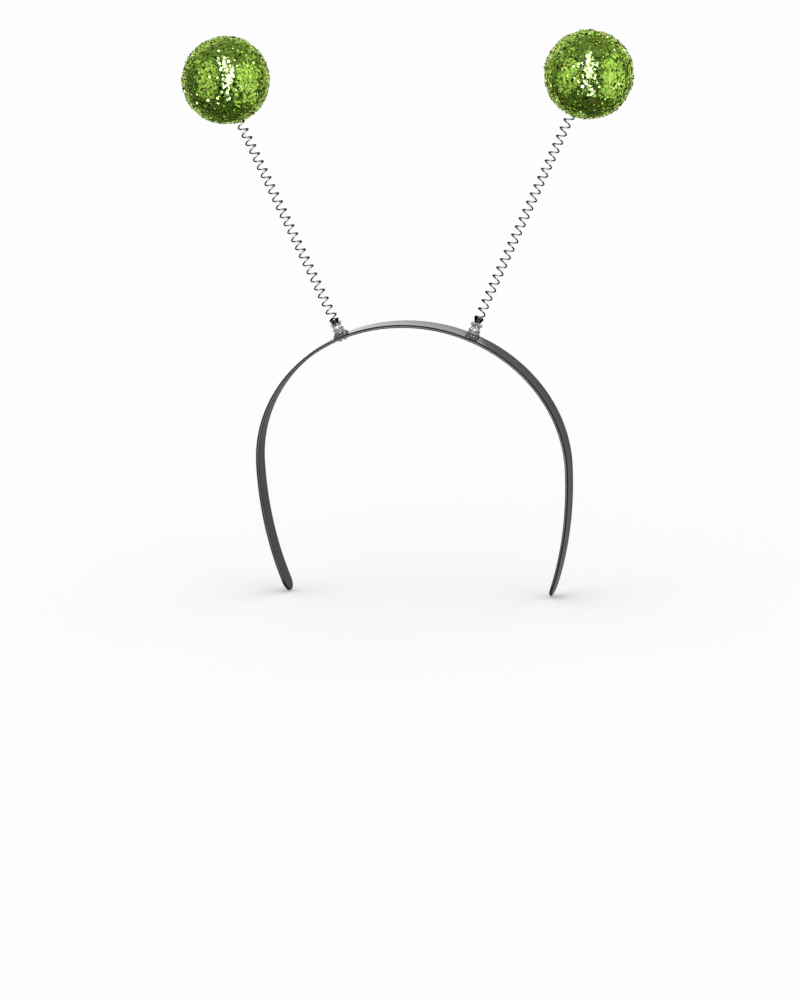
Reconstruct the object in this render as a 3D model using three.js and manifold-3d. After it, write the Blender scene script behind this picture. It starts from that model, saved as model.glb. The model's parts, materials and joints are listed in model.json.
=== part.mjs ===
// Head bopper: a plastic headband that carries two glitter balls on coil springs.
// Millimetres. +Z is up, X runs across the head and the wearer faces -Y.
// The origin is the crown of the band's inner face, at the middle of its width.
// Left and right are as seen from the front.

import * as THREE from 'three';
import { mergeVertices } from 'three/addons/utils/BufferGeometryUtils.js';
import Module from 'manifold-3d';

// Clearance kept between pieces that touch on the real object
const GAP = 0.3;

// Headband: a flat strip bent over the crown, with legs that draw in below its widest level
const BAND = {
  width: 10,
  thickness: 1.5,
  halfSpan: 74.2, // middle plane to the outer face at the widest level
  crownHeight: 67.2, // widest level to the top of the outer face
  legCurve: 115, // half height of the ellipse that the legs follow
  legTurn: 32, // degrees along that ellipse to the tips
  edgeRound: 0.35,
  crownSteps: 44,
  legSteps: 9,
};

// Spring holder: a clear stepped post on the band's outer face, pegged through the band
const HOLDER = {
  seatX: 31.1, // middle plane to the foot of the post
  padLength: 6,
  padDepth: 8.4,
  padRidge: 5, // depth of the pad's flat top, between its sloping front and back
  padTop: 1.2,
  pegRadius: 1.1,
  headRadius: 2,
  headThickness: 0.7,
  cupFloor: 5.3,
  sides: 18,
};

const PAD_MIDDLE = (GAP + HOLDER.padTop) / 2;

// The post above its pad, turned about its own line: heights are above the band's outer face
const POST_STEPS = [
  { radius: 2.7, height: 1.8 }, // foot ring
  { radius: 2.25, height: 2 }, // groove
  { radius: 2.25, height: 2.4 },
  { radius: 2.7, height: 2.6 }, // upper ring
  { radius: 2.7, height: 3.1 },
  { radius: 2.15, height: 3.4 }, // neck
  { radius: 2.15, height: 5 },
  { radius: 2.7, height: 5.6 }, // flared cup
  { radius: 2.7, height: 6.2 },
  { radius: 2, height: 6.2 },
  { radius: 2, height: HOLDER.cupFloor },
  { radius: 0.7, height: HOLDER.cupFloor }, // spigot inside the spring's foot
  { radius: 0.7, height: 8.6 },
  { radius: 0, height: 8.6 },
];

// Spring: a right-hand coil with a narrow close-wound foot round the holder's spigot
const SPRING = {
  wireRadius: 0.26,
  wireSides: 6,
  coilRadius: 1.95, // axis to the middle of the wire
  pitch: 4.1,
  footRadius: 1.3,
  footPitch: 0.7,
  footTurns: 3,
  stepsPerTurn: 10,
  backLean: 10, // degrees that the free axis leans away from the face
  bendLength: 7, // stretch above the foot where the axis leaves the holder's line
};

// Ball: foam, with a blind hole that the spring's end is pushed into
const BALL = {
  radius: 20,
  springDepth: 4, // the spring's end below the surface
  holeRadius: 2.65,
  slices: 28,
  stacks: 16,
};

// Each bopper's own set: how high its foot stands above the cup's floor, degrees of splay beyond the
// holder's line, foot to ball along the spring, how far the ball sits off the spring's axis towards +X,
// and the part of a turn where its wire starts
const BOPPERS = [
  { name: 'left', side: -1, lift: 0, splay: 4.2, reach: 120.9, offset: 2.5, phase: 0.57 },
  { name: 'right', side: 1, lift: 1.4, splay: 2.6, reach: 121.4, offset: 0, phase: 0.53 },
];

const UP = new THREE.Vector3(0, 0, 1);
const BACK = new THREE.Vector3(0, 1, 0);
const radians = THREE.MathUtils.degToRad;

const manifold = await Module();
manifold.setup();

// A closed three.js geometry as a solid that can be joined and cut
function toSolid(geometry) {
  const bare = geometry.clone();
  bare.deleteAttribute('normal');
  bare.deleteAttribute('uv');
  const merged = mergeVertices(bare, 1e-4);
  const corners = merged.index.array;
  const faces = [];
  for (let i = 0; i < corners.length; i += 3) {
    const [a, b, c] = corners.slice(i, i + 3);
    if (a !== b && b !== c && c !== a) {
      faces.push(a, b, c);
    }
  }
  return new manifold.Manifold(new manifold.Mesh({
    numProp: 3,
    vertProperties: new Float32Array(merged.attributes.position.array),
    triVerts: new Uint32Array(faces),
  }));
}

function toGeometry(solid) {
  const mesh = solid.getMesh();
  const geometry = new THREE.BufferGeometry();
  geometry.setAttribute('position', new THREE.BufferAttribute(mesh.vertProperties, 3));
  geometry.setIndex(new THREE.BufferAttribute(mesh.triVerts, 1));
  geometry.computeVertexNormals();
  return geometry;
}

// A round bar along the Z axis
function rod(radius, low, high, sides) {
  const bar = new THREE.CylinderGeometry(radius, radius, high - low, sides);
  bar.rotateX(Math.PI / 2);
  bar.translate(0, 0, (low + high) / 2);
  return bar;
}

// One face of the strip, from the left tip over the crown to the right tip
function bandFace(inset) {
  const across = BAND.halfSpan - inset;
  const crown = BAND.crownHeight - inset;
  const leg = BAND.legCurve - inset;
  const turn = radians(BAND.legTurn);
  const leftLeg = new THREE.EllipseCurve(0, 0, across, leg, Math.PI + turn, Math.PI, true);
  const top = new THREE.EllipseCurve(0, 0, across, crown, Math.PI, 0, true);
  const rightLeg = new THREE.EllipseCurve(0, 0, across, leg, 0, -turn, true);
  return [
    ...leftLeg.getPoints(BAND.legSteps),
    ...top.getPoints(BAND.crownSteps).slice(1),
    ...rightLeg.getPoints(BAND.legSteps).slice(1),
  ];
}

const WIDEST_LEVEL = BAND.thickness - BAND.crownHeight;

function bentStrip() {
  const outline = new THREE.Shape([...bandFace(0), ...bandFace(BAND.thickness).reverse()]);
  const depth = BAND.width - 2 * BAND.edgeRound;
  const strip = new THREE.ExtrudeGeometry(outline, {
    depth,
    bevelEnabled: true,
    bevelThickness: BAND.edgeRound,
    bevelSize: BAND.edgeRound,
    bevelOffset: -BAND.edgeRound,
    bevelSegments: 1,
  });
  strip.translate(0, 0, -depth / 2);
  strip.rotateX(Math.PI / 2);
  strip.translate(0, 0, WIDEST_LEVEL);
  return toSolid(strip);
}

// The strip's outline seen from the side, with both tips rounded
function roundedTips() {
  const half = BAND.width / 2;
  const top = 2 * BAND.thickness;
  const tipLevel = WIDEST_LEVEL - BAND.legCurve * Math.sin(radians(BAND.legTurn));
  const outline = new THREE.Shape();
  outline.moveTo(half, top);
  outline.lineTo(-half, top);
  outline.absarc(0, tipLevel + half, half, Math.PI, 2 * Math.PI, false);
  outline.closePath();
  const span = 2 * BAND.halfSpan + 2;
  const prism = new THREE.ExtrudeGeometry(outline, { depth: span, bevelEnabled: false, curveSegments: 8 });
  prism.translate(0, 0, -span / 2);
  prism.rotateX(Math.PI / 2);
  prism.rotateZ(Math.PI / 2);
  return toSolid(prism);
}

// Where a holder stands: its local Z is the band's outward normal
function seat(side) {
  const angle = Math.asin(HOLDER.seatX / BAND.halfSpan);
  const height = WIDEST_LEVEL + BAND.crownHeight * Math.cos(angle);
  const lean = Math.atan(BAND.crownHeight * Math.tan(angle) / BAND.halfSpan);
  const place = new THREE.Group();
  place.position.set(side * HOLDER.seatX, 0, height);
  place.rotation.y = side * lean;
  place.updateMatrix();
  return place;
}

function headbandGeometry(seats) {
  let band = bentStrip().intersect(roundedTips());
  for (const place of seats) {
    const hole = rod(HOLDER.pegRadius + GAP, -2 * BAND.thickness, BAND.thickness, HOLDER.sides);
    hole.applyMatrix4(place.matrix);
    band = band.subtract(toSolid(hole));
  }
  return toGeometry(band);
}

// A holder's pad, narrower at its top than at the band
function padGeometry() {
  const pad = new THREE.BoxGeometry(HOLDER.padLength, HOLDER.padDepth, HOLDER.padTop - GAP);
  const corners = pad.attributes.position;
  for (let i = 0; i < corners.count; i += 1) {
    if (corners.getZ(i) > 0) {
      corners.setY(i, Math.sign(corners.getY(i)) * HOLDER.padRidge / 2);
    }
  }
  pad.translate(0, 0, PAD_MIDDLE);
  return pad;
}

// A holder in its seat's frame, where z = 0 is the band's outer face
function holderGeometry() {
  const headTop = -BAND.thickness - GAP;
  const headBottom = headTop - HOLDER.headThickness;
  const profile = [
    new THREE.Vector2(0, headBottom),
    new THREE.Vector2(HOLDER.headRadius, headBottom),
    new THREE.Vector2(HOLDER.headRadius, headTop),
    new THREE.Vector2(HOLDER.pegRadius, headTop),
    new THREE.Vector2(HOLDER.pegRadius, PAD_MIDDLE),
    new THREE.Vector2(POST_STEPS[0].radius, PAD_MIDDLE),
    ...POST_STEPS.map(({ radius, height }) => new THREE.Vector2(radius, height)),
  ];
  const post = new THREE.LatheGeometry(profile, HOLDER.sides);
  post.rotateX(Math.PI / 2);
  return toGeometry(toSolid(post).add(toSolid(padGeometry())));
}

// The spring's axis, in its seat's frame: up the holder's line, then bending to its free direction
function springAxis(own) {
  const footStart = HOLDER.cupFloor + GAP + SPRING.wireRadius + own.lift;
  const footEnd = footStart + SPRING.footTurns * SPRING.footPitch;
  const free = UP.clone().applyAxisAngle(BACK, own.side * radians(own.splay));
  free.addScaledVector(BACK, Math.tan(radians(SPRING.backLean))).normalize();
  const start = new THREE.Vector3(0, 0, footStart);
  const bend = new THREE.Vector3(0, 0, footEnd);
  const freeLength = own.reach - BALL.radius + BALL.springDepth;
  const end = bend.clone().addScaledVector(free, freeLength);
  const path = new THREE.CurvePath();
  path.add(new THREE.LineCurve3(start, bend));
  path.add(new THREE.CubicBezierCurve3(
    bend,
    bend.clone().addScaledVector(UP, SPRING.bendLength),
    end.clone().addScaledVector(free, -freeLength / 2),
    end,
  ));
  const across = free.clone().cross(BACK).normalize().negate();
  const ballCentre = bend.clone().addScaledVector(free, own.reach).addScaledVector(across, own.offset);
  return { path, free, across, ballCentre };
}

// The middle line of the wire: narrow close turns at the foot, then open turns of one size
class SpringWire extends THREE.Curve {
  constructor(axis, phase) {
    super();
    this.axis = axis;
    this.phase = phase;
    this.length = axis.getLength();
    this.footHeight = SPRING.footTurns * SPRING.footPitch;
    this.turns = SPRING.footTurns + (this.length - this.footHeight) / SPRING.pitch;
    this.arcLengthDivisions = 4000;
  }

  getPoint(t, target = new THREE.Vector3()) {
    const turn = t * this.turns;
    const footTurn = Math.min(turn, SPRING.footTurns);
    const rise = footTurn * SPRING.footPitch + (turn - footTurn) * SPRING.pitch;
    const widen = THREE.MathUtils.smoothstep(turn, 0, SPRING.footTurns);
    const radius = THREE.MathUtils.lerp(SPRING.footRadius, SPRING.coilRadius, widen);
    const along = Math.min(rise / this.length, 1);
    const tangent = this.axis.getTangent(along);
    const right = BACK.clone().cross(tangent).normalize();
    const back = tangent.clone().cross(right);
    const angle = 2 * Math.PI * (turn + this.phase);
    target.copy(this.axis.getPoint(along));
    target.addScaledVector(right, radius * Math.cos(angle));
    return target.addScaledVector(back, radius * Math.sin(angle));
  }
}

function springGeometry(axis, phase) {
  const wire = new SpringWire(axis.path, phase);
  const section = new THREE.Shape();
  section.absarc(0, 0, SPRING.wireRadius, 0, 2 * Math.PI, false);
  const corners = section.getSpacedPoints(SPRING.wireSides).slice(0, -1);
  return new THREE.ExtrudeGeometry(new THREE.Shape(corners), {
    steps: Math.round(wire.turns * SPRING.stepsPerTurn),
    extrudePath: wire,
    bevelEnabled: false,
  });
}

// The ball about its own centre, drilled along the spring's axis
function ballGeometry(axis, offset) {
  const holeFloor = -BALL.radius + BALL.springDepth + 2 * GAP;
  const hole = rod(BALL.holeRadius, -BALL.radius - 1, holeFloor, HOLDER.sides);
  hole.applyQuaternion(new THREE.Quaternion().setFromUnitVectors(UP, axis.free));
  hole.translate(...axis.across.clone().multiplyScalar(-offset).toArray());
  const sphere = new THREE.SphereGeometry(BALL.radius, BALL.slices, BALL.stacks);
  return toGeometry(toSolid(sphere).subtract(toSolid(hole)));
}

const blackPlastic = () => new THREE.MeshStandardMaterial({ color: 0x1b1b1c, roughness: 0.32, metalness: 0 });
const clearPlastic = () => new THREE.MeshStandardMaterial({
  color: 0xdfe3e6, roughness: 0.12, metalness: 0, transparent: true, opacity: 0.45,
});
const blackWire = () => new THREE.MeshStandardMaterial({ color: 0x141414, roughness: 0.3, metalness: 0.9 });
const greenGlitter = () => new THREE.MeshStandardMaterial({ color: 0x73a02c, roughness: 0.35, metalness: 0.7 });

function piece(name, geometry, material) {
  const mesh = new THREE.Mesh(geometry, material);
  mesh.name = name;
  return mesh;
}

function headBopper() {
  const bopper = new THREE.Group();
  const seats = BOPPERS.map(({ side }) => seat(side));
  bopper.add(piece('headband', headbandGeometry(seats), blackPlastic()));
  BOPPERS.forEach((own, index) => {
    const axis = springAxis(own);
    const ball = piece(`${own.name}_ball`, ballGeometry(axis, own.offset), greenGlitter());
    ball.position.copy(axis.ballCentre);
    seats[index].add(
      piece(`${own.name}_spring_holder`, holderGeometry(), clearPlastic()),
      piece(`${own.name}_spring`, springGeometry(axis, own.phase), blackWire()),
      ball,
    );
    bopper.add(seats[index]);
  });
  return bopper;
}

export default headBopper();
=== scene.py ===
"""Head bopper: a black headband, clear spring holders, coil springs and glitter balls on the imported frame."""

import json
import math

import bmesh
import bpy
from bpy.props import FloatProperty, FloatVectorProperty, IntProperty, PointerProperty
from mathutils import Euler, Matrix, Vector, noise

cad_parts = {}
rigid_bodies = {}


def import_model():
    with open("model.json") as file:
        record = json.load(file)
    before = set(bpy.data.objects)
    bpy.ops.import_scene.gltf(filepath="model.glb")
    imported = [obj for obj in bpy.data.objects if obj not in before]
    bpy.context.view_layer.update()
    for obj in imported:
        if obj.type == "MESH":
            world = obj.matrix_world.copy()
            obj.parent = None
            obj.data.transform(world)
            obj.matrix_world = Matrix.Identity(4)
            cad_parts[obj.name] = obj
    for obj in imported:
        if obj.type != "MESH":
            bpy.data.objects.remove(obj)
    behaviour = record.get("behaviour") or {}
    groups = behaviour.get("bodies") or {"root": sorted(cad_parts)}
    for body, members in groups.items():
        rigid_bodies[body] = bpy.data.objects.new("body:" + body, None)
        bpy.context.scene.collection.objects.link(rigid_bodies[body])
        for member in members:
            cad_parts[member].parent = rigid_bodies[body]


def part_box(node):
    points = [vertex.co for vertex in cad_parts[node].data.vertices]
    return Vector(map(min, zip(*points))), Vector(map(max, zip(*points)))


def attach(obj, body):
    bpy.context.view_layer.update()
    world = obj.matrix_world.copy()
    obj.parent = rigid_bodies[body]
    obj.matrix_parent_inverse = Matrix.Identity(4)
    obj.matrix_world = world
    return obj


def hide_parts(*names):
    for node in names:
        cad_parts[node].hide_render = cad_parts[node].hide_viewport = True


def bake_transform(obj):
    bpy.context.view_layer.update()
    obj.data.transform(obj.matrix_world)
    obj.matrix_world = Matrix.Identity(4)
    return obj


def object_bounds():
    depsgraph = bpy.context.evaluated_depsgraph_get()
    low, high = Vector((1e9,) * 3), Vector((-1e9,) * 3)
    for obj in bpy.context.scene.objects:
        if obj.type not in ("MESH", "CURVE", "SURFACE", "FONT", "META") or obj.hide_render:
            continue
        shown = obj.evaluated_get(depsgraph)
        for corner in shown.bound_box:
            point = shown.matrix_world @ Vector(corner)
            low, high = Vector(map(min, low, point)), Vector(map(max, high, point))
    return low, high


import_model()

bl_info = {
    "name": "Head Bopper",
    "version": (1, 0, 0),
    "blender": (4, 5, 0),
    "location": "View3D > Sidebar > Head Bopper",
    "description": "Builds a headband with two glitter balls on springs around its packed frame",
    "category": "Object",
}

CAD_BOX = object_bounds()
BAND_LOW, BAND_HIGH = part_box("headband")
BALL_LOW, BALL_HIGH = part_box("right_ball")

# Each bopper: its side, how high its foot stands above the cup's floor, degrees of splay beyond the
# holder's line, foot to ball along the spring, and the part of a turn at which its wire starts
BOPPERS = {
    "left": {"side": -1, "lift": 0.0, "splay": 4.2, "reach": 0.1209, "phase": 0.57},
    "right": {"side": 1, "lift": 0.0014, "splay": 2.6, "reach": 0.1214, "phase": 0.53},
}

# A holder's post above its pad: radius, height above the band's outer face and corner rounding
POST_STEPS = (
    (0.0027, 0.0018, 0.00015),  # foot ring
    (0.00225, 0.0020, 0.00008),  # groove
    (0.00225, 0.0024, 0.00008),
    (0.0027, 0.0026, 0.00015),  # upper ring
    (0.0027, 0.0031, 0.00015),
    (0.00215, 0.0034, 0.0002),  # neck
    (0.00215, 0.0050, 0.0004),
    (0.0027, 0.0056, 0.0002),  # flared cup
    (0.0027, 0.0062, 0.0001),
    (0.0020, 0.0062, 0.0001),
    (0.0020, 0.0053, 0.0002),
    (0.0007, 0.0053, 0.0002),  # spigot inside the spring's foot
    (0.0007, 0.0086, 0.0002),
    (0.0, 0.0086, 0.0),
)


def length(name, description, default):
    """A size in metres that a user may change."""
    return FloatProperty(name=name, description=description, default=default, min=0.0,
                         precision=5, subtype="DISTANCE", unit="LENGTH")


def angle(name, description, degrees):
    """An angle that a user may change."""
    return FloatProperty(name=name, description=description, default=math.radians(degrees),
                         subtype="ANGLE", unit="ROTATION")


def colour(name, description, default):
    """A colour that a user may change."""
    return FloatVectorProperty(name=name, description=description, default=default, size=4,
                               min=0.0, max=1.0, subtype="COLOR")


def amount(name, description, default):
    """A plain number that a user may change."""
    return FloatProperty(name=name, description=description, default=default)


class BandSettings(bpy.types.PropertyGroup):
    """Sizes and colour of the headband."""

    width: length("Width", "Front edge to back edge", BAND_HIGH.y - BAND_LOW.y)
    thickness: length("Thickness", "Inner face to outer face at the crown", BAND_HIGH.z)
    half_span: length("Half span", "Middle to the outer face at the widest level", BAND_HIGH.x)
    crown_height: length("Crown height", "Widest level to the top of the outer face", 0.0672)
    leg_curve: length("Leg curve", "Half height of the ellipse that the legs follow", 0.115)
    leg_turn: angle("Leg turn", "Turn along the legs' ellipse to the tips", 32)
    edge_round: length("Edge rounding", "Radius of the moulded edges", 0.00035)
    dish: length("Dish", "How far the outer face rises from its middle to its edges", 0.0001)
    crown_steps: IntProperty(name="Crown steps", description="Sections from tip to tip", default=520, min=20)
    plastic: colour("Plastic", "Colour of the band", (0.014, 0.014, 0.015, 1))


class HolderSettings(bpy.types.PropertyGroup):
    """Sizes and colour of the clear spring holders."""

    seat: length("Seat", "Middle of the band to the foot of a holder", 0.0311)
    pad_length: length("Pad length", "Size of the pad along the band", 0.0054)
    pad_depth: length("Pad depth", "Size of the pad across the band", 0.0084)
    pad_top: length("Pad top", "Height of the pad above the band's outer face", 0.0012)
    pad_ridge: length("Pad ridge", "Size of the pad's flat top across the band", 0.005)
    pad_sink: length("Pad sink", "How far the pad is moulded into the band's face", 0.0002)
    pad_round: length("Pad rounding", "Radius of the pad's edges", 0.0002)
    peg_radius: length("Peg radius", "Radius of the peg through the band", 0.0011)
    head_radius: length("Head radius", "Radius of the flat head under the band", 0.002)
    head_bottom: length("Head bottom", "Depth of the flat head below the outer face", 0.0025)
    sides: IntProperty(name="Sides", description="Steps round the post", default=64, min=12)
    plastic: colour("Plastic", "Tint of the clear plastic", (0.62, 0.645, 0.665, 1))


class SpringSettings(bpy.types.PropertyGroup):
    """Sizes and colour of the coil springs."""

    wire_radius: length("Wire radius", "Radius of the wire", 0.00034)
    coil_radius: length("Coil radius", "Spring's axis to the middle of the wire", 0.00195)
    pitch: length("Pitch", "Rise of one open turn", 0.0041)
    foot_radius: length("Foot radius", "Coil radius at the bottom of the foot", 0.0013)
    foot_pitch: length("Foot pitch", "Rise of one turn of the foot", 0.0007)
    foot_turns: FloatProperty(name="Foot turns", description="Close turns in the foot", default=3.0, min=1.0)
    foot_start: length("Foot start", "Lowest place of a foot above the band's outer face", 0.00586)
    bend_length: length("Bend", "Stretch where the axis leaves the holder's line", 0.007)
    back_lean: angle("Back lean", "Lean of the free axis away from the face", 10)
    ball_depth: length("Depth in ball", "Spring's end below the ball's surface", 0.004)
    steps: IntProperty(name="Steps", description="Steps for each turn", default=28, min=8)
    wire: colour("Wire", "Colour of the wire", (0.05, 0.05, 0.05, 1))


class BallSettings(bpy.types.PropertyGroup):
    """Sizes and colours of the glitter balls."""

    radius: length("Radius", "Middle of a ball to the top of its glitter", (BALL_HIGH.x - BALL_LOW.x) / 2)
    coat: length("Coat", "Depth of the glitter on the foam", 0.0004)
    lump_size: length("Lump size", "Width of the foam's lumps", 0.0052)
    lump_height: length("Lump height", "Height of the foam's lumps", 0.00044)
    lump_seed: IntProperty(name="Lump seed", description="Which lumps the foam has", default=3)
    flake_size: length("Flake size", "Width of a glitter flake", 0.0012)
    flake_depth: length("Flake depth", "Depth of a flake's backing into the glue", 0.00012)
    flake_count: IntProperty(name="Flakes", description="Glitter flakes on each ball", default=16500, min=10)
    lift: length("Lift", "Most that a flake stands off the foam", 0.00042)
    tilt: angle("Tilt", "Most that a flake leans out of the surface", 30)
    stray: angle("Stray", "Extra lean of the few flakes that stand up", 80)
    settle: FloatProperty(name="Settle", description="How strongly flakes lie flat", default=2.6, min=1.0)
    foil: colour("Foil", "Colour of the green foil", (0.34, 0.575, 0.07, 1))
    glue: colour("Glue", "Colour of the painted foam between the flakes", (0.09, 0.17, 0.02, 1))


class StudioSettings(bpy.types.PropertyGroup):
    """Camera, floor and lights."""

    camera_turn: angle("Camera turn", "Camera to the side of the front", 16.25)
    camera_rise: angle("Camera rise", "Camera above the level of its aim", 14.3)
    camera_roll: angle("Camera roll", "Turn of the picture", -3.08)
    camera_distance: length("Camera distance", "Camera to its aim", 2.5)
    aim_across: FloatProperty(name="Aim across", description="Aim to the right of the crown",
                              default=-0.00698, unit="LENGTH")
    aim_up: FloatProperty(name="Aim up", description="Aim above the crown", default=-0.07998, unit="LENGTH")
    lens: FloatProperty(name="Lens", description="Focal length", default=197.95, subtype="DISTANCE_CAMERA")
    floor_drop: length("Floor drop", "Gap under the tips", 0.0002)
    floor: colour("Floor", "Colour of the floor", (0.88, 0.88, 0.88, 1))
    room_light: amount("Room light", "Even light all round", 1.12)
    room_low: amount("Room low", "Brightness of the low room in reflections", 0.17)
    room_high: amount("Room high", "Brightness of the high room in reflections", 0.42)
    room_front: amount("Room front", "Part of that brightness left at the front", 0.28)
    backdrop: amount("Backdrop", "Brightness that the backdrop adds in reflections", 0.1)
    backdrop_top: amount("Backdrop top", "Part of that brightness left high up", 0.55)


class HeadBopperSettings(bpy.types.PropertyGroup):
    """All that a user would change."""

    band: PointerProperty(type=BandSettings)
    holder: PointerProperty(type=HolderSettings)
    spring: PointerProperty(type=SpringSettings)
    ball: PointerProperty(type=BallSettings)
    studio: PointerProperty(type=StudioSettings)


def settings():
    """The settings kept with the scene."""
    return bpy.context.scene.head_bopper


# Node trees

class Nodes:
    """Adds nodes to a tree. An input is given as a plain value or as the socket that feeds it."""

    def __init__(self, tree):
        self.tree = tree

    def add(self, kind, inputs=None, **options):
        node = self.tree.nodes.new(kind)
        for name, value in options.items():
            setattr(node, name, value)
        for key, value in (inputs or {}).items():
            if isinstance(value, bpy.types.NodeSocket):
                self.tree.links.new(value, node.inputs[key])
            else:
                node.inputs[key].default_value = value
        return node

    def sum(self, operation, *values):
        return self.add("ShaderNodeMath", dict(enumerate(values)), operation=operation).outputs[0]

    def vector(self, operation, *values):
        return self.add("ShaderNodeVectorMath", dict(enumerate(values)), operation=operation).outputs[0]

    def scaled(self, vector, factor):
        node = self.add("ShaderNodeVectorMath", {0: vector, "Scale": factor}, operation="SCALE")
        return node.outputs[0]

    def ranged(self, value, low, high, start=0.0, stop=1.0, smooth=False):
        kind = "SMOOTHSTEP" if smooth else "LINEAR"
        node = self.add("ShaderNodeMapRange", {"Value": value, "From Min": start, "From Max": stop,
                                               "To Min": low, "To Max": high}, interpolation_type=kind)
        return node.outputs["Result"]

    def mixed(self, factor, first, second):
        node = self.add("ShaderNodeMix", {0: factor, 6: first, 7: second}, data_type="RGBA")
        return node.outputs[2]

    def ramp(self, factor, stops, interpolation="LINEAR"):
        node = self.add("ShaderNodeValToRGB", {"Fac": factor})
        node.color_ramp.interpolation = interpolation
        elements = node.color_ramp.elements
        while len(elements) < len(stops):
            elements.new(1.0)
        for element, (place, shade) in zip(elements, stops):
            element.position = place
            element.color = shade
        return node.outputs["Color"]

    def noise(self, place, scale, detail=3.0, roughness=0.55):
        node = self.add("ShaderNodeTexNoise", {"Vector": place, "Scale": scale, "Detail": detail,
                                               "Roughness": roughness})
        return node.outputs["Fac"]

    def dressed(self, geometry, finish):
        node = self.add("GeometryNodeSetMaterial", {"Geometry": geometry, "Material": finish})
        return node.outputs["Geometry"]


def group_tree(kind, name, inputs, outputs):
    """A node group with named sockets, its Nodes, its inputs by name and its output node."""
    tree = bpy.data.node_groups.new(name, kind)
    for socket, (socket_kind, default) in inputs.items():
        made = tree.interface.new_socket(socket, in_out="INPUT", socket_type=socket_kind)
        if default is not None:
            made.default_value = default
    for socket, socket_kind in outputs.items():
        tree.interface.new_socket(socket, in_out="OUTPUT", socket_type=socket_kind)
    nodes = Nodes(tree)
    return tree, nodes, nodes.add("NodeGroupInput").outputs, nodes.add("NodeGroupOutput")


def plain_inputs(*names):
    """Number inputs of a node group, which every user of it sets."""
    return {name: ("NodeSocketFloat", 1.0) for name in names}


def set_inputs(modifier, values):
    """Sets a Geometry Nodes modifier's inputs, found by their names, through their identifiers."""
    for socket in modifier.node_group.interface.items_tree:
        if socket.in_out == "INPUT" and socket.name in values:
            modifier[socket.identifier] = values[socket.name]


def chosen_sizes(group, names):
    """Values from a group of settings, under the names that a tree gives its inputs."""
    return {name: getattr(group, name.lower().replace(" ", "_")) for name in names}


# Finishes

def handling_marks():
    """A shader group: soft clouding, hairlines along X and fine height, for moulded or drawn surfaces."""
    name = "Handling marks"
    if name in bpy.data.node_groups:
        return bpy.data.node_groups[name]
    inputs = {
        "Place": ("NodeSocketVector", None),
        **plain_inputs("Cloud Scale", "Hairline Scale", "Hairline Stretch"),
    }
    outputs = {"Cloud": "NodeSocketFloat", "Hairlines": "NodeSocketFloat", "Height": "NodeSocketFloat"}
    tree, nodes, given, result = group_tree("ShaderNodeTree", name, inputs, outputs)
    cloud = nodes.noise(given["Place"], given["Cloud Scale"], detail=4.0)
    part = nodes.add("ShaderNodeSeparateXYZ", {0: given["Place"]}).outputs
    drawn_out = nodes.sum("DIVIDE", part["X"], given["Hairline Stretch"])
    lines_place = nodes.add("ShaderNodeCombineXYZ", {"X": drawn_out, "Y": part["Y"], "Z": part["Z"]})
    lines = nodes.noise(lines_place.outputs[0], given["Hairline Scale"], detail=2.0)
    hairlines = nodes.ranged(lines, 0.0, 1.0, 0.58, 0.72, smooth=True)
    fine = nodes.noise(given["Place"], given["Hairline Scale"], detail=1.0)
    fine_height, hairline_depth = 0.15, 0.25
    raised = nodes.sum("ADD", cloud, nodes.sum("MULTIPLY", fine, fine_height))
    height = nodes.sum("SUBTRACT", raised, nodes.sum("MULTIPLY", hairlines, hairline_depth))
    nodes.tree.links.new(nodes.ranged(cloud, 0.0, 1.0, 0.3, 0.7), result.inputs["Cloud"])
    nodes.tree.links.new(hairlines, result.inputs["Hairlines"])
    nodes.tree.links.new(height, result.inputs["Height"])
    return tree


def socket_name(word):
    """A shader socket's name from a keyword, such as Base Color from base_color."""
    return word.replace("_", " ").title().replace("Ior", "IOR")


def new_material(name, **constants):
    """A material with one Principled shader, whose even values are set straight on its sockets."""
    material = bpy.data.materials.new(name)
    material.use_nodes = True
    material.node_tree.nodes.clear()
    nodes = Nodes(material.node_tree)
    shader = nodes.add("ShaderNodeBsdfPrincipled")
    for word, value in constants.items():
        shader.inputs[socket_name(word)].default_value = value
    nodes.add("ShaderNodeOutputMaterial", {"Surface": shader.outputs[0]})
    return material, nodes, shader


def feed(nodes, shader, **sources):
    """Links changing values to the shader's sockets."""
    for word, source in sources.items():
        nodes.tree.links.new(source, shader.inputs[socket_name(word)])


def object_place(nodes):
    return nodes.add("ShaderNodeTexCoord").outputs["Object"]


def marks_on(nodes, place, **values):
    """The shared handling marks, placed in a material with its own values."""
    node = nodes.add("ShaderNodeGroup", node_tree=handling_marks())
    nodes.tree.links.new(place, node.inputs["Place"])
    for word, value in values.items():
        node.inputs[socket_name(word)].default_value = value
    return node.outputs


def bumped(nodes, height, strength, distance):
    node = nodes.add("ShaderNodeBump", {"Height": height, "Strength": strength, "Distance": distance})
    return node.outputs["Normal"]


def shades(base, *factors):
    """A colour made darker or lighter by each factor."""
    return [(*(min(1.0, channel * factor) for channel in base[:3]), 1.0) for factor in factors]


def band_plastic(base):
    """Black moulded plastic: satin, clouded by handling, with hairlines along the strip."""
    material, nodes, shader = new_material("band_plastic", ior=1.5)
    along = nodes.add("ShaderNodeUVMap", uv_map="UVMap").outputs["UV"]
    marks = marks_on(nodes, along, cloud_scale=70.0, hairline_scale=1600.0, hairline_stretch=60.0)
    dark, light = shades(base, 0.8, 1.5)
    gloss = nodes.sum("ADD", nodes.ranged(marks["Cloud"], 0.1, 0.16),
                      nodes.sum("MULTIPLY", marks["Hairlines"], 0.06))
    feed(nodes, shader, base_color=nodes.mixed(marks["Cloud"], dark, light), roughness=gloss,
         normal=bumped(nodes, marks["Height"], 0.06, 0.00005))
    return material


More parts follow.
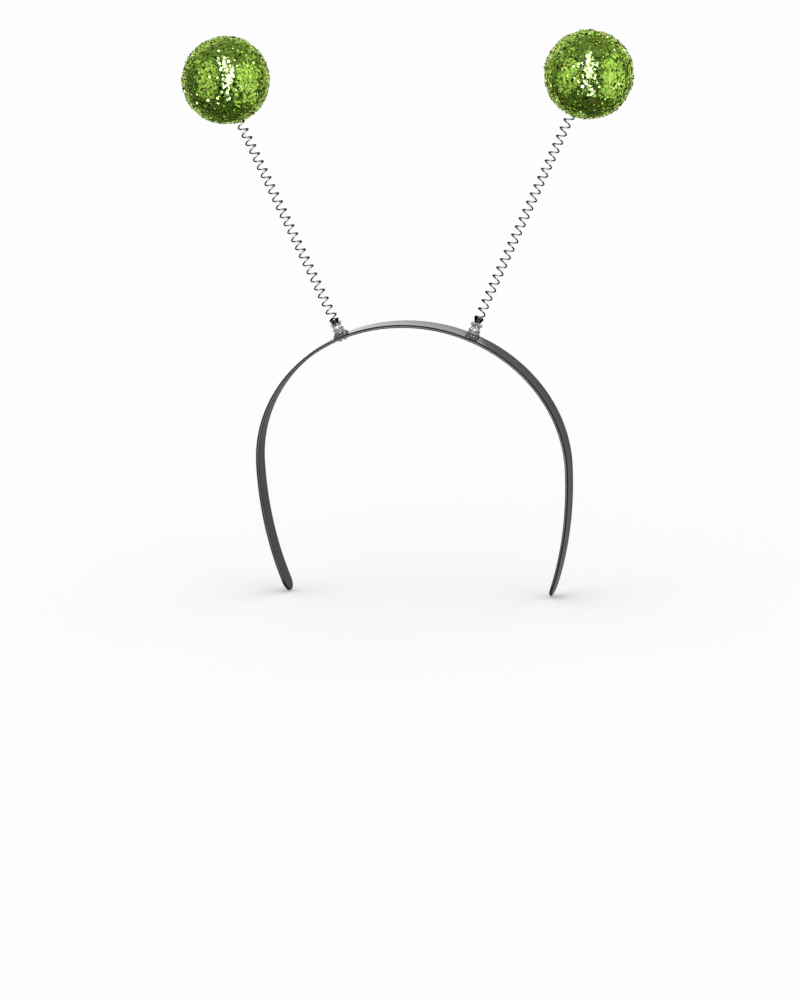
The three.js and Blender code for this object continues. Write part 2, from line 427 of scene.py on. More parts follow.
def clear_plastic(base):
    """Clear moulded plastic with a faint cloud in its polish."""
    material, nodes, shader = new_material("clear_plastic", ior=1.5, transmission_weight=0.88)
    marks = marks_on(nodes, object_place(nodes), cloud_scale=500.0, hairline_scale=2500.0,
                     hairline_stretch=6.0)
    faint, full = shades(base, 0.94, 1.0)
    feed(nodes, shader, base_color=nodes.mixed(marks["Cloud"], faint, full),
         roughness=nodes.ranged(marks["Cloud"], 0.02, 0.08),
         normal=bumped(nodes, marks["Height"], 0.06, 0.00005))
    return material


def spring_wire(base):
    """Drawn steel with glossy black paint, a little uneven along the wire, with painted shade darkening the
    close turns of the foot.
    """
    # The black edge tint keeps the wire's sides dark against a pale background
    material, nodes, shader = new_material("spring_wire", metallic=1.0, specular_tint=(0, 0, 0, 1))
    marks = marks_on(nodes, object_place(nodes), cloud_scale=350.0, hairline_scale=3000.0,
                     hairline_stretch=4.0)
    # The close colour is painted shade on the foot's close turns, fading out where the coil opens
    close, dark, light = shades(base, 0.15, 0.7, 1.3)
    opened = nodes.add("ShaderNodeAttribute", attribute_name="open_coil").outputs["Fac"]
    paint = nodes.mixed(opened, close, nodes.mixed(marks["Cloud"], dark, light))
    feed(nodes, shader, base_color=paint, roughness=nodes.ranged(marks["Cloud"], 0.08, 0.2),
         normal=bumped(nodes, marks["Height"], 0.05, 0.00002))
    return material


# Takes neighbouring tints to unlike roughnesses, so that shade and shine do not go together
SHINE_SPREAD = 17.0


def glitter_foil(base):
    """Green metal foil cut into flakes: each flake has its own shade, and a few are dark, pale or warm."""
    material, nodes, shader = new_material("glitter_foil", metallic=1.0, specular_tint=(1.0, 1.0, 0.65, 1),
                                           coat_weight=0.2, coat_roughness=0.1)
    tint = nodes.add("ShaderNodeAttribute", attribute_name="flake_tint").outputs["Fac"]
    deep, mid, full, light = shades(base, 0.52, 0.82, 1.0, 1.22)
    stops = [
        (0.0, (0.012, 0.022, 0.001, 1)),
        (0.045, deep),
        (0.2, mid),
        (0.55, full),
        (0.9, light),
        (0.965, (0.7, 0.86, 0.2, 1)),
        (0.985, (0.72, 0.45, 0.08, 1)),
    ]
    shine = nodes.sum("FRACT", nodes.sum("MULTIPLY", tint, SHINE_SPREAD))
    feed(nodes, shader, base_color=nodes.ramp(tint, stops, "CONSTANT"),
         roughness=nodes.ranged(shine, 0.08, 0.22))
    return material


def painted_foam(base):
    """Green paint and glue over the foam, seen between the flakes."""
    material, nodes, shader = new_material("painted_foam", ior=1.45)
    place = object_place(nodes)
    grain = nodes.noise(place, 1400.0)
    cells = nodes.add("ShaderNodeTexVoronoi", {"Vector": place, "Scale": 900.0}).outputs["Distance"]
    dark, light = shades(base, 0.35, 1.4)
    feed(nodes, shader, base_color=nodes.mixed(grain, dark, light), roughness=nodes.ranged(grain, 0.3, 0.6),
         normal=bumped(nodes, cells, 0.5, 0.0002))
    return material


# Mesh making

def scene_object(name, data):
    """An object made from its data and linked to the scene."""
    made = bpy.data.objects.new(name, data)
    bpy.context.scene.collection.objects.link(made)
    return made


def finished(piece):
    """Turns a piece's modifiers into a plain mesh and leaves a new object of the same name."""
    name = piece.name
    graph = bpy.context.evaluated_depsgraph_get()
    mesh = bpy.data.meshes.new_from_object(piece.evaluated_get(graph), depsgraph=graph)
    bpy.data.objects.remove(piece)
    mesh.name = name
    return scene_object(name, mesh)


def smooth(mesh, sharp_from=math.radians(40)):
    mesh.shade_smooth()
    mesh.set_sharp_from_angle(angle=sharp_from)


def rounded(corners, steps=4, most=0.45):
    """A line through (x, y, rounding) corners, each eased over its rounding within a part of each side."""
    points = []
    for index, (x, y, rounding) in enumerate(corners):
        here = Vector((x, y))
        if rounding == 0.0 or index in (0, len(corners) - 1):
            points.append(here)
            continue
        arms = []
        for other in (corners[index - 1], corners[index + 1]):
            arm = Vector(other[:2]) - here
            arms.append(here + arm.normalized() * min(rounding, most * arm.length))
        for step in range(steps + 1):
            t = step / steps
            points.append(arms[0] * (1 - t) ** 2 + here * 2 * t * (1 - t) + arms[1] * t ** 2)
    return points


def turned(profile, sides):
    """A closed solid from (radius, height) points that start and end on the Z axis."""
    shape = bmesh.new()
    rings = []
    for radius, height in profile:
        if radius == 0.0:
            rings.append([shape.verts.new((0, 0, height))] * sides)
            continue
        turns = (2 * math.pi * side / sides for side in range(sides))
        rings.append([shape.verts.new((radius * math.cos(a), radius * math.sin(a), height)) for a in turns])
    for low, high in zip(rings, rings[1:]):
        for side in range(sides):
            after = (side + 1) % sides
            corners = dict.fromkeys((low[side], low[after], high[after], high[side]))
            shape.faces.new(list(corners))
    bmesh.ops.recalc_face_normals(shape, faces=shape.faces)
    return shape


def to_mesh(shape, name):
    mesh = bpy.data.meshes.new(name)
    shape.to_mesh(mesh)
    shape.free()
    return mesh


# Headband

def widest_level(band):
    return band.thickness - band.crown_height


def band_point(band, turn, depth):
    """A point midway across the band: its turn from the +X side over the crown, and its depth inwards."""
    height = band.crown_height if 0 <= turn <= math.pi else band.leg_curve
    return Vector(((band.half_span - depth) * math.cos(turn), 0,
                   widest_level(band) + (height - depth) * math.sin(turn)))


def tip_level(band):
    return widest_level(band) - band.leg_curve * math.sin(band.leg_turn)


def band_turns(band):
    """Turns from the right tip to the left one, close together where the tips are round."""
    radius = band.width / 2
    # The first section stands just inside the tip, where the strip has some width
    tip_steps, first_step = 14, 0.35
    tip = []
    for step in range(tip_steps):
        rise = radius * (1 - math.cos(math.pi / 2 * (step + first_step) / tip_steps))
        level = tip_level(band) + rise
        tip.append(math.asin((level - widest_level(band)) / band.leg_curve))
    start = math.asin((tip_level(band) + radius - widest_level(band)) / band.leg_curve)
    whole = math.pi - 2 * start
    middle = [start + whole * step / band.crown_steps for step in range(band.crown_steps + 1)]
    return tip + middle + [math.pi - turn for turn in reversed(tip)]


# Steps over a rounded edge, and places between the edges as parts of the half width
EDGE_STEPS = 6
FACE_SHARES = [0.85, 0.7, 0.45, 0.2]


def across_shares(band):
    """Places across the band from edge to edge, close together at the edges, as parts of its half width."""
    radius = band.width / 2
    turns = (math.pi / 2 * step / EDGE_STEPS for step in range(EDGE_STEPS + 1))
    near_edge = [band.edge_round * (1 - math.cos(turn)) for turn in turns]
    shares = [1 - inset / radius for inset in near_edge] + FACE_SHARES
    return [-share for share in shares] + [0.0] + list(reversed(shares))


def band_section(band, turn, shares):
    """The band's middle at a turn, and the ring of points round it there, each with its place across."""
    radius, edge = band.width / 2, band.edge_round
    outer = band_point(band, turn, 0.0)
    inner = band_point(band, turn, band.thickness)
    middle = (outer + inner) / 2
    outward = (outer - inner).normalized()
    to_round = max(0.0, radius - (outer.z - tip_level(band)))
    half_width = math.sqrt(max(0.0, radius ** 2 - to_round ** 2))
    top, bottom = [], []
    for share in shares:
        across = half_width * share
        inset = min(edge, max(0.0, radius - math.hypot(to_round, across)))
        half = band.thickness / 2 - edge + math.sqrt(edge ** 2 - (edge - inset) ** 2)
        sunk = band.dish * (1 - (across / radius) ** 2)
        for row, height in ((top, half - sunk), (bottom, -half)):
            row.append((middle + outward * height + Vector((0, across, 0)), across))
    return middle, top + list(reversed(bottom))


def band_mesh(band):
    """The strip with rounded edges, round tips and a dished face, and a UV map in metres along and across."""
    shape = bmesh.new()
    uv = shape.loops.layers.uv.new("UVMap")
    shares = across_shares(band)
    places, rows = {}, []
    run, last = 0.0, None
    for turn in band_turns(band):
        middle, ring = band_section(band, turn, shares)
        run += (middle - last).length if last else 0.0
        last = middle
        row = []
        for point, across in ring:
            vertex = shape.verts.new(point)
            places[vertex] = (run, across)
            row.append(vertex)
        rows.append(row)
    for one, two in zip(rows, rows[1:]):
        for corner in range(len(one)):
            after = (corner + 1) % len(one)
            shape.faces.new((one[corner], two[corner], two[after], one[after]))
    shape.faces.new(rows[0])
    shape.faces.new(list(reversed(rows[-1])))
    bmesh.ops.recalc_face_normals(shape, faces=shape.faces)
    for face in shape.faces:
        for loop in face.loops:
            loop[uv].uv = places[loop.vert]
    return to_mesh(shape, "headband_strip")


# Spring holders

def seat_matrix(name):
    """A holder's place: its Z is the band's outward normal and its origin is on the outer face."""
    band, seat = settings().band, settings().holder.seat
    side = BOPPERS[name]["side"]
    turn = math.asin(seat / band.half_span)
    lean = math.atan(band.crown_height * math.tan(turn) / band.half_span)
    height = widest_level(band) + band.crown_height * math.cos(turn)
    return Matrix.Translation((side * seat, 0, height)) @ Matrix.Rotation(side * lean, 4, "Y")


def holder_pad(holder):
    """The pad under the post, with rounded edges."""
    shape = bmesh.new()
    bmesh.ops.create_cube(shape, size=1.0)
    high = holder.pad_top + holder.pad_sink
    bmesh.ops.scale(shape, vec=(holder.pad_length, holder.pad_depth, high), verts=shape.verts)
    bmesh.ops.translate(shape, vec=(0, 0, high / 2 - holder.pad_sink), verts=shape.verts)
    ridge = [vertex for vertex in shape.verts if vertex.co.z > 0]
    bmesh.ops.scale(shape, vec=(1, holder.pad_ridge / holder.pad_depth, 1), verts=ridge)
    bmesh.ops.bevel(shape, geom=shape.edges[:], offset=holder.pad_round, segments=3, affect="EDGES",
                    profile=0.5)
    return to_mesh(shape, "holder_pad")


def holder_post(holder, thickness):
    """The flat head, peg and stepped post, turned about one line."""
    head_edge, pad_middle = 0.00015, holder.pad_top / 2
    corners = [
        (0.0, -holder.head_bottom, 0.0),
        (holder.head_radius, -holder.head_bottom, head_edge),
        (holder.head_radius, -thickness, head_edge),
        (holder.peg_radius, -thickness, 0.0),
        (holder.peg_radius, pad_middle, 0.0),
        (POST_STEPS[0][0], pad_middle, 0.0),
        *POST_STEPS,
    ]
    return to_mesh(turned(rounded(corners), holder.sides), "holder_post")


def holder_piece(name):
    """One holder as a single closed shell."""
    holder, band = settings().holder, settings().band
    pad = scene_object("pad_tool", holder_pad(holder))
    piece = scene_object(f"{name}_holder", holder_post(holder, band.thickness))
    union = piece.modifiers.new("Pad", "BOOLEAN")
    union.operation = "UNION"
    union.solver = "EXACT"
    union.object = pad
    piece = finished(piece)
    bpy.data.objects.remove(pad)
    piece.data.transform(seat_matrix(name))
    smooth(piece.data, sharp_from=math.radians(35))
    return piece


# Springs

# Part of a turn over which the foot's painted shade gives way to the open coil
FOOT_FADE = 0.4

# Faces round the wire
WIRE_SIDES = 10

# Settings that a spring's tree takes by name
COIL_SIZES = ("Wire Radius", "Coil Radius", "Pitch", "Foot Radius", "Foot Pitch", "Foot Turns")


def spring_path(name):
    """The spring's axis as a curve: up the holder's line, then bending to its free direction."""
    spring, ball = settings().spring, settings().ball
    own = BOPPERS[name]
    seat = seat_matrix(name)
    up = Vector((0, 0, 1))
    free = Euler((0, own["side"] * math.radians(own["splay"]), 0)).to_matrix() @ up
    free = (free + Vector((0, math.tan(spring.back_lean), 0))).normalized()
    start = up * (spring.foot_start + own["lift"])
    bend = start + up * spring.foot_turns * spring.foot_pitch
    free_length = own["reach"] - ball.radius + spring.ball_depth
    end = bend + free * free_length
    knots = (
        (start, start, start.lerp(bend, 1 / 3)),
        (bend, start.lerp(bend, 2 / 3), bend + up * spring.bend_length),
        (end, end - free * free_length / 2, end),
    )
    curve = bpy.data.curves.new(f"{name}_spring_path", "CURVE")
    curve.dimensions = "3D"
    curve.resolution_u = 48
    spline = curve.splines.new("BEZIER")
    spline.bezier_points.add(len(knots) - 1)
    for point, (place, before, after) in zip(spline.bezier_points, knots):
        point.handle_left_type = point.handle_right_type = "FREE"
        point.co, point.handle_left, point.handle_right = (seat @ p for p in (place, before, after))
    return curve, seat @ bend, seat @ (end - free * spring.ball_depth)


def coil_place(nodes, given):
    """How many turns each point of the wire has made, and its place on the coil."""
    index = nodes.add("GeometryNodeInputIndex").outputs["Index"]
    turn = nodes.sum("DIVIDE", index, given["Steps"])
    foot_turn = nodes.sum("MINIMUM", turn, given["Foot Turns"])
    foot_rise = nodes.sum("MULTIPLY", foot_turn, given["Foot Pitch"])
    open_rise = nodes.sum("MULTIPLY", nodes.sum("SUBTRACT", turn, foot_turn), given["Pitch"])
    rise = nodes.sum("ADD", foot_rise, open_rise)
    axis = nodes.add("GeometryNodeSampleCurve", {"Curves": given["Path"], "Length": rise},
                     mode="LENGTH").outputs
    right = nodes.vector("NORMALIZE", nodes.vector("CROSS_PRODUCT", (0, 1, 0), axis["Tangent"]))
    back = nodes.vector("CROSS_PRODUCT", axis["Tangent"], right)
    radius = nodes.ranged(turn, given["Foot Radius"], given["Coil Radius"], 0.0, given["Foot Turns"],
                          smooth=True)
    bearing = nodes.sum("MULTIPLY", nodes.sum("ADD", turn, given["Phase"]), 2 * math.pi)
    out_right = nodes.scaled(right, nodes.sum("MULTIPLY", radius, nodes.sum("COSINE", bearing)))
    out_back = nodes.scaled(back, nodes.sum("MULTIPLY", radius, nodes.sum("SINE", bearing)))
    place = nodes.vector("ADD", nodes.vector("ADD", axis["Position"], out_right), out_back)
    return turn, place


def coil_tree():
    """Geometry Nodes: winds a wire round a path, with narrow close turns at its foot and then open turns."""
    inputs = {
        "Path": ("NodeSocketGeometry", None),
        **plain_inputs(*COIL_SIZES, "Phase", "Steps"),
        "Finish": ("NodeSocketMaterial", None),
    }
    tree, nodes, given, result = group_tree("GeometryNodeTree", "Wound wire", inputs,
                                            {"Wire": "NodeSocketGeometry"})
    total = nodes.add("GeometryNodeCurveLength", {"Curve": given["Path"]}).outputs["Length"]
    foot_height = nodes.sum("MULTIPLY", given["Foot Turns"], given["Foot Pitch"])
    open_turns = nodes.sum("DIVIDE", nodes.sum("SUBTRACT", total, foot_height), given["Pitch"])
    turns = nodes.sum("ADD", given["Foot Turns"], open_turns)
    count = nodes.sum("MULTIPLY", turns, given["Steps"])
    line = nodes.add("GeometryNodeMeshLine", {"Count": count}).outputs["Mesh"]
    wire = nodes.add("GeometryNodeMeshToCurve", {"Mesh": line}).outputs["Curve"]

    turn, place = coil_place(nodes, given)
    wound = nodes.add("GeometryNodeSetPosition", {"Geometry": wire, "Position": place}).outputs[0]
    # Marks how far each point is out of the foot's painted shade, fading over part of a turn
    opened = nodes.sum("ADD", given["Foot Turns"], FOOT_FADE)
    marked = nodes.add("GeometryNodeStoreNamedAttribute", {
        "Geometry": wound, "Name": "open_coil",
        "Value": nodes.ranged(turn, 0.0, 1.0, given["Foot Turns"], opened)},
        data_type="FLOAT", domain="POINT").outputs[0]

    section = nodes.add("GeometryNodeCurvePrimitiveCircle", {
        "Resolution": WIRE_SIDES, "Radius": given["Wire Radius"]})
    tube = nodes.add("GeometryNodeCurveToMesh", {"Curve": marked, "Profile Curve": section.outputs["Curve"],
                                                 "Fill Caps": True})
    whole = nodes.add("GeometryNodeRealizeInstances", {"Geometry": tube.outputs["Mesh"]}).outputs[0]
    nodes.tree.links.new(nodes.dressed(whole, given["Finish"]), result.inputs["Wire"])
    return tree


def spring_piece(name, tree, finish):
    """One wound spring, with the points where it leaves its foot and meets its ball."""
    spring = settings().spring
    curve, foot, entry = spring_path(name)
    path = scene_object(f"{name}_wire", curve)
    winding = path.modifiers.new("Winding", "NODES")
    winding.node_group = tree
    set_inputs(winding, {
        **chosen_sizes(spring, COIL_SIZES),
        "Phase": BOPPERS[name]["phase"],
        "Steps": float(spring.steps),
        "Finish": finish,
    })
    piece = finished(path)
    smooth(piece.data)
    return piece, foot, entry


# Glitter balls

def ball_centre(name):
    low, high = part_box(f"{name}_ball")
    return (low + high) / 2


def ball_core(name, finish):
    """The painted foam ball under the glitter, with low lumps."""
    ball = settings().ball
    lumps = Vector((0, 0, ball.lump_seed))
    shape = bmesh.new()
    bmesh.ops.create_icosphere(shape, subdivisions=6, radius=ball.radius - ball.coat)
    bmesh.ops.translate(shape, vec=ball_centre(name), verts=shape.verts)
    for vertex in shape.verts:
        vertex.co += vertex.normal * ball.lump_height * noise.noise(vertex.co / ball.lump_size + lumps)
    mesh = to_mesh(shape, f"{name}_foam")
    mesh.shade_smooth()
    mesh.materials.append(finish)
    return scene_object(f"{name}_foam", mesh)


# Seed of the first ball's coat, and offsets from a coat's seed for what is drawn for each flake
FIRST_SEED = 3
RISE_DRAW, LEAN_DRAW, SWING_DRAW, SIZE_DRAW, TINT_DRAW = 1, 2, 3, 4, 5

# Chance above which a flake stands up, and the smallest and largest flakes as parts of their usual size
STRAY_FROM = 0.87
SMALLEST, LARGEST = 0.6, 1.3

# Settings that a coat's tree takes by name
FLAKE_SIZES = ("Flake Size", "Flake Depth", "Lift", "Tilt", "Settle", "Stray")


def chance(nodes, given, low, high, draw):
    """A random value for each flake."""
    seed = nodes.sum("ADD", given["Seed"], float(draw))
    node = nodes.add("FunctionNodeRandomValue", {2: low, 3: high, "Seed": seed}, data_type="FLOAT")
    return node.outputs[1]


def flake_shape(nodes, given):
    """One flat six-sided flake with a shallow point into the glue."""
    flake = nodes.add("GeometryNodeMeshCone", {
        "Vertices": 6, "Radius Bottom": 0.0, "Depth": given["Flake Depth"],
        "Radius Top": nodes.sum("MULTIPLY", given["Flake Size"], 0.5)}, fill_type="NGON").outputs["Mesh"]
    return nodes.add("GeometryNodeSetShadeSmooth", {"Geometry": flake, "Shade Smooth": False}).outputs[0]


def flake_stance(nodes, given, upright):
    """Each flake's turn: most lie nearly flat on the surface, and a few stand up."""
    luck = chance(nodes, given, 0.0, 1.0, LEAN_DRAW)
    settled = nodes.sum("MULTIPLY", nodes.sum("POWER", luck, given["Settle"]), given["Tilt"])
    lean = nodes.sum("ADD", settled, nodes.ranged(luck, 0.0, given["Stray"], STRAY_FROM, 1.0))
    swing = nodes.add("ShaderNodeCombineXYZ", {
        "X": lean, "Z": chance(nodes, given, 0.0, 2 * math.pi, SWING_DRAW)}).outputs[0]
    turn = nodes.add("FunctionNodeEulerToRotation", {"Euler": swing}).outputs[0]
    return nodes.add("FunctionNodeRotateRotation", {
        "Rotation": upright, "Rotate By": turn}, rotation_space="LOCAL").outputs[0]


def glitter_tree():
    """Geometry Nodes: scatters six-sided flakes over a surface, each with its own lean, size and tint."""
    inputs = {
        "Surface": ("NodeSocketGeometry", None),
        **plain_inputs("Density", *FLAKE_SIZES),
        "Seed": ("NodeSocketInt", 1),
        "Finish": ("NodeSocketMaterial", None),
    }
    tree, nodes, given, result = group_tree("GeometryNodeTree", "Glitter coat", inputs,
                                            {"Flakes": "NodeSocketGeometry"})

    scattered = nodes.add("GeometryNodeDistributePointsOnFaces", {
        "Mesh": given["Surface"], "Density": given["Density"], "Seed": given["Seed"]}).outputs
    height = chance(nodes, given, 0.0, 1.0, RISE_DRAW)
    rise = nodes.scaled(scattered["Normal"], nodes.sum("MULTIPLY", height, given["Lift"]))
    points = nodes.add("GeometryNodeSetPosition", {
        "Geometry": scattered["Points"], "Offset": rise}).outputs[0]

    flat = flake_shape(nodes, given)
    stance = flake_stance(nodes, given, scattered["Rotation"])
    size = chance(nodes, given, SMALLEST, LARGEST, SIZE_DRAW)
    placed = nodes.add("GeometryNodeInstanceOnPoints", {
        "Points": points, "Instance": flat, "Rotation": stance, "Scale": size}).outputs[0]
    tinted = nodes.add("GeometryNodeStoreNamedAttribute", {
        "Geometry": placed, "Name": "flake_tint", "Value": chance(nodes, given, 0.0, 1.0, TINT_DRAW)},
        data_type="FLOAT", domain="INSTANCE").outputs[0]
    whole = nodes.add("GeometryNodeRealizeInstances", {"Geometry": tinted}).outputs[0]
    nodes.tree.links.new(nodes.dressed(whole, given["Finish"]), result.inputs["Flakes"])
    return tree


def ball_glitter(name, core, tree, finish, seed):
    """The flakes on one ball, as one mesh."""
    ball = settings().ball
    piece = scene_object(f"{name}_glitter", core.data.copy())
    coat = piece.modifiers.new("Coat", "NODES")
    coat.node_group = tree
    area = 4 * math.pi * (ball.radius - ball.coat) ** 2
    set_inputs(coat, {
        "Density": ball.flake_count / area,
        **chosen_sizes(ball, FLAKE_SIZES),
        "Seed": seed,
        "Finish": finish,
    })
    return finished(piece)


# Studio

def toward(turn, rise):
    """The direction at a turn round from the front and a rise above level."""
    return Vector((math.sin(turn) * math.cos(rise), -math.cos(turn) * math.cos(rise), math.sin(rise)))


def camera_axes(studio):
    """Right, up and backward directions of the camera before its roll."""
    turn = studio.camera_turn
    back = toward(turn, studio.camera_rise)
    right = Vector((math.cos(turn), math.sin(turn), 0))
    return right, back.cross(right), back


def place_camera(studio, crown):
    right, up, back = camera_axes(studio)
    aim = right * studio.aim_across + up * studio.aim_up + crown
    roll = studio.camera_roll
    rolled_right = right * math.cos(roll) + up * math.sin(roll)
    rolled_up = up * math.cos(roll) - right * math.sin(roll)
    data = bpy.data.cameras.new("camera")
    data.lens = studio.lens
    data.sensor_width = 36.0
    camera = scene_object("camera", data)
    place = Matrix((rolled_right, rolled_up, back)).transposed().to_4x4()
    place.translation = aim + back * studio.camera_distance
    camera.matrix_world = place
    bpy.context.scene.camera = camera


def studio_floor(studio, level):
    """A wide pale floor, which is left out of reflections."""
    shape = bmesh.new()
    bmesh.ops.create_grid(shape, x_segments=1, y_segments=1, size=30.0)
    bmesh.ops.translate(shape, vec=(0, 0, level), verts=shape.verts)
    floor = scene_object("floor", to_mesh(shape, "floor"))
    material, nodes, shader = new_material("pale_floor", roughness=0.9, specular_ior_level=0.0)
    cloud = nodes.noise(object_place(nodes), 2.0)
    pale, paler = shades(studio.floor, 0.99, 1.01)
    feed(nodes, shader, base_color=nodes.mixed(cloud, pale, paler))
    floor.data.materials.append(material)
    floor.visible_glossy = False


# Cosines from the line straight behind the object at which the brighter backdrop starts and is full
BACKDROP_EDGE, BACKDROP_FULL = 0.33, 0.9

# The same where the darker front of the room starts and is full
FRONT_EDGE, FRONT_FULL = -0.45, -0.9

# Heights of a direction between which the room brightens, and between which the backdrop dims
ROOM_RISE = (-0.5, 0.6)
BACKDROP_FALL = (0.05, 0.6)


def studio_world(studio):
    """Even white light all round; reflections see a dim room that is a little brighter behind the object."""
    world = bpy.data.worlds.new("studio")
    world.use_nodes = True
    world.node_tree.nodes.clear()
    bpy.context.scene.world = world
    nodes = Nodes(world.node_tree)
    direction = nodes.add("ShaderNodeTexCoord").outputs["Generated"]
    part = nodes.add("ShaderNodeSeparateXYZ", {0: direction}).outputs
    behind = -camera_axes(studio)[2]
    facing = nodes.add("ShaderNodeVectorMath", {0: direction, 1: tuple(behind)},
                       operation="DOT_PRODUCT").outputs["Value"]
    front = nodes.ranged(facing, studio.room_front, 1.0, FRONT_FULL, FRONT_EDGE, smooth=True)
    brighter_up = nodes.ranged(part["Z"], studio.room_low, studio.room_high, *ROOM_RISE, smooth=True)
    room = nodes.sum("MULTIPLY", front, brighter_up)
    behind_it = nodes.ranged(facing, 0.0, studio.backdrop, BACKDROP_EDGE, BACKDROP_FULL, smooth=True)
    dimmer_up = nodes.ranged(part["Z"], 1.0, studio.backdrop_top, *BACKDROP_FALL, smooth=True)
    backdrop = nodes.sum("MULTIPLY", dimmer_up, behind_it)
    glossy = nodes.add("ShaderNodeLightPath").outputs["Is Glossy Ray"]
    strength = nodes.add("ShaderNodeMix", {0: glossy, 2: studio.room_light,
                                           3: nodes.sum("ADD", room, backdrop)}, data_type="FLOAT")
    light = nodes.add("ShaderNodeBackground", {"Color": (1, 1, 1, 1), "Strength": strength.outputs[0]})
    nodes.add("ShaderNodeOutputWorld", {"Surface": light.outputs[0]})


# Reflection panels for each group of pieces: colour, turn and rise from the camera's line in degrees,
# distance, width, height and brightness. The balls' strip is cool, so that it looks white on green foil.
WHITE, COOL = (1.0, 1.0, 1.0), (0.4, 0.36, 1.0)
BAND_AIM = Vector((0.04, -0.005, -0.01))
PANELS = {
    "balls": {
        "ball_strip": (COOL, 2, 0, 1.3, 0.24, 3.6, 22.0),
        "left_panel": (WHITE, -56, -5, 1.6, 1.5, 2.8, 0.86),
        "right_panel": (WHITE, 66, -19, 1.6, 2.2, 3.5, 1.15),
        "ball_back": (WHITE, 180, -20, 2.0, 5.0, 5.0, 0.85),
    },
    "holders": {
        "holder_strip": (WHITE, 2, 0, 1.3, 0.16, 3.6, 40.0),
    },
    "springs": {
        "wire_front": (WHITE, 4, 4, 1.3, 2.5, 0.65, 54.0),
    },
    "headband": {
        "band_back": (WHITE, 184, -5, 1.5, 1.1, 1.0, 0.9),
        "band_edge": (WHITE, -32.5, -28.6, 1.5, 0.2, 0.2, 9.0),
    },
}


def studio_panel(name, studio, aim, shade, turn, rise, distance, width, height, brightness):
    """A soft panel that shows in glossy surfaces and leaves the floor's even light alone."""
    back = toward(studio.camera_turn + math.radians(turn), studio.camera_rise + math.radians(rise))
    data = bpy.data.lights.new(name, "AREA")
    data.shape = "RECTANGLE"
    data.size, data.size_y = width, height
    data.energy = brightness * math.pi * width * height
    data.color = shade
    panel = scene_object(name, data)
    facing = back.to_track_quat("Z", "Y").to_matrix().to_4x4()
    panel.matrix_world = Matrix.Translation(aim + back * distance) @ facing
    panel.visible_camera = False
    panel.visible_diffuse = False
    return panel


# Operators

class HEADBOPPER_OT_studio(bpy.types.Operator):
    """Set the camera, the pale floor and the soft lights"""

    bl_idname = "head_bopper.studio"
    bl_label = "Studio"

    def execute(self, context):
        studio = settings().studio
        place_camera(studio, Vector((0, 0, BAND_HIGH.z)))
        studio_floor(studio, CAD_BOX[0].z - studio.floor_drop)
        studio_world(studio)
        balls_middle = (ball_centre("left") + ball_centre("right")) / 2
        lit = {
            "balls": (balls_middle, "glitter", "foam"),
            "holders": (balls_middle, "holder"),
            "springs": (balls_middle, "wire"),
            "headband": (BAND_AIM, "strip"),
        }
        for group, (aim, *endings) in lit.items():
            receivers = bpy.data.collections.new(f"lit {group}")
            for piece in context.scene.objects:
                if piece.name.split("_")[-1] in endings:
                    receivers.objects.link(piece)
            for name, values in PANELS[group].items():
                panel = studio_panel(name, studio, aim, *values)
                panel.light_linking.receiver_collection = receivers
        context.scene.view_settings.view_transform = "Standard"
        return {"FINISHED"}


class HEADBOPPER_OT_headband(bpy.types.Operator):
    """Build the bent plastic strip"""

    bl_idname = "head_bopper.headband"
    bl_label = "Headband"

    def execute(self, context):
        band = settings().band
        mesh = band_mesh(band)
        smooth(mesh)
        mesh.materials.append(band_plastic(band.plastic))
        piece = scene_object("headband_strip", mesh)
        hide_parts("headband")
        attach(piece, "headband")
        return {"FINISHED"}


class HEADBOPPER_OT_holders(bpy.types.Operator):
    """Build the two clear spring holders"""

    bl_idname = "head_bopper.holders"
    bl_label = "Spring holders"

    def execute(self, context):
        finish = clear_plastic(settings().holder.plastic)
        for name in BOPPERS:
            piece = holder_piece(name)
            piece.data.materials.clear()
            piece.data.materials.append(finish)
            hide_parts(f"{name}_spring_holder")
            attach(piece, "headband")
        return {"FINISHED"}


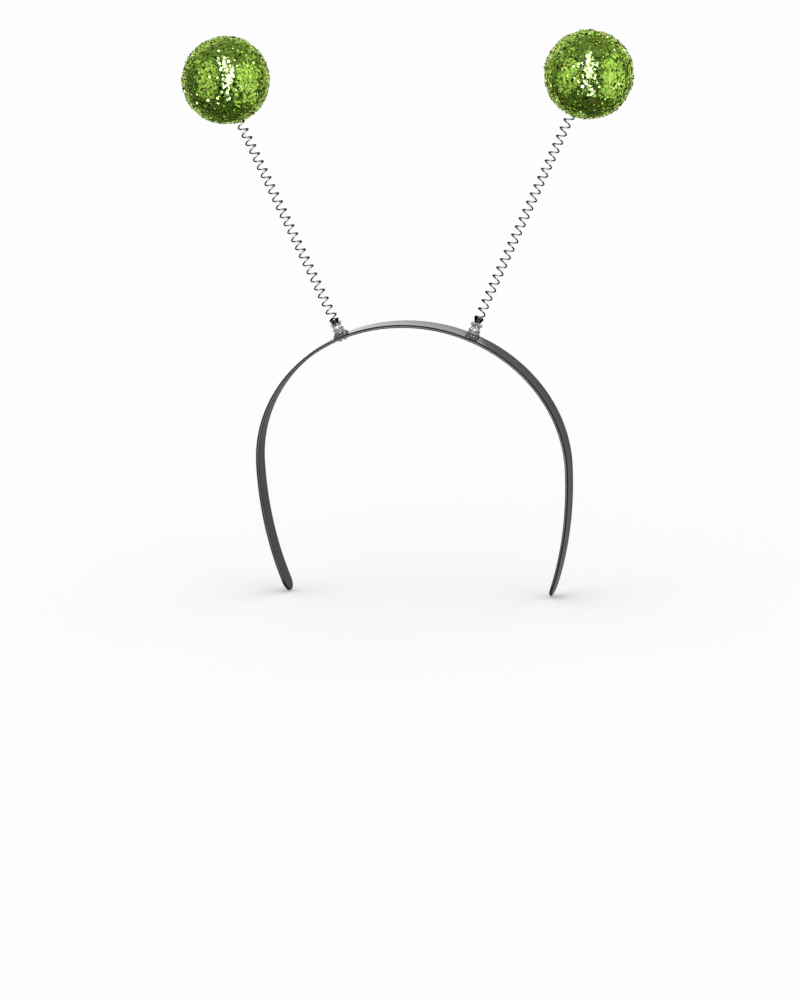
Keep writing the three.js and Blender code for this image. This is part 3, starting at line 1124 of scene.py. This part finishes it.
class HEADBOPPER_OT_springs(bpy.types.Operator):
    """Wind the two coil springs"""

    bl_idname = "head_bopper.springs"
    bl_label = "Springs"

    def execute(self, context):
        finish = spring_wire(settings().spring.wire)
        tree = coil_tree()
        for name in BOPPERS:
            piece, foot, entry = spring_piece(name, tree, finish)
            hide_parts(f"{name}_spring")
            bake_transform(piece)
        return {"FINISHED"}


class HEADBOPPER_OT_balls(bpy.types.Operator):
    """Build the two foam balls and their glitter"""

    bl_idname = "head_bopper.balls"
    bl_label = "Glitter balls"

    def execute(self, context):
        ball = settings().ball
        foam, foil = painted_foam(ball.glue), glitter_foil(ball.foil)
        tree = glitter_tree()
        for seed, name in enumerate(BOPPERS, start=FIRST_SEED):
            core = ball_core(name, foam)
            flakes = ball_glitter(name, core, tree, foil, seed)
            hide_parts(f"{name}_ball")
            for piece in (core, flakes):
                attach(piece, f"{name}_bopper")
        return {"FINISHED"}


class HEADBOPPER_PT_panel(bpy.types.Panel):
    """Lists the head bopper's pieces and their settings"""

    bl_idname = "HEADBOPPER_PT_panel"
    bl_label = "Head Bopper"
    bl_space_type = "VIEW_3D"
    bl_region_type = "UI"
    bl_category = "Head Bopper"

    def draw(self, context):
        for operator, group in STEPS:
            box = self.layout.box()
            box.operator(operator.bl_idname)
            chosen = getattr(context.scene.head_bopper, group)
            for name in chosen.bl_rna.properties.keys():
                if name not in {"rna_type", "name"}:
                    box.prop(chosen, name)


# The operators in the order that they run, with the settings that each uses
STEPS = (
    (HEADBOPPER_OT_headband, "band"),
    (HEADBOPPER_OT_holders, "holder"),
    (HEADBOPPER_OT_springs, "spring"),
    (HEADBOPPER_OT_balls, "ball"),
    (HEADBOPPER_OT_studio, "studio"),
)

CLASSES = (
    BandSettings,
    HolderSettings,
    SpringSettings,
    BallSettings,
    StudioSettings,
    HeadBopperSettings,
    *(operator for operator, group in STEPS),
    HEADBOPPER_PT_panel,
)


def register():
    for made in CLASSES:
        bpy.utils.register_class(made)
    bpy.types.Scene.head_bopper = PointerProperty(type=HeadBopperSettings)


def unregister():
    del bpy.types.Scene.head_bopper
    for made in reversed(CLASSES):
        bpy.utils.unregister_class(made)


def main():
    register()
    for name in ("headband", "holders", "springs", "balls", "studio"):
        getattr(bpy.ops.head_bopper, name)()


if __name__ == "__main__":
    main()
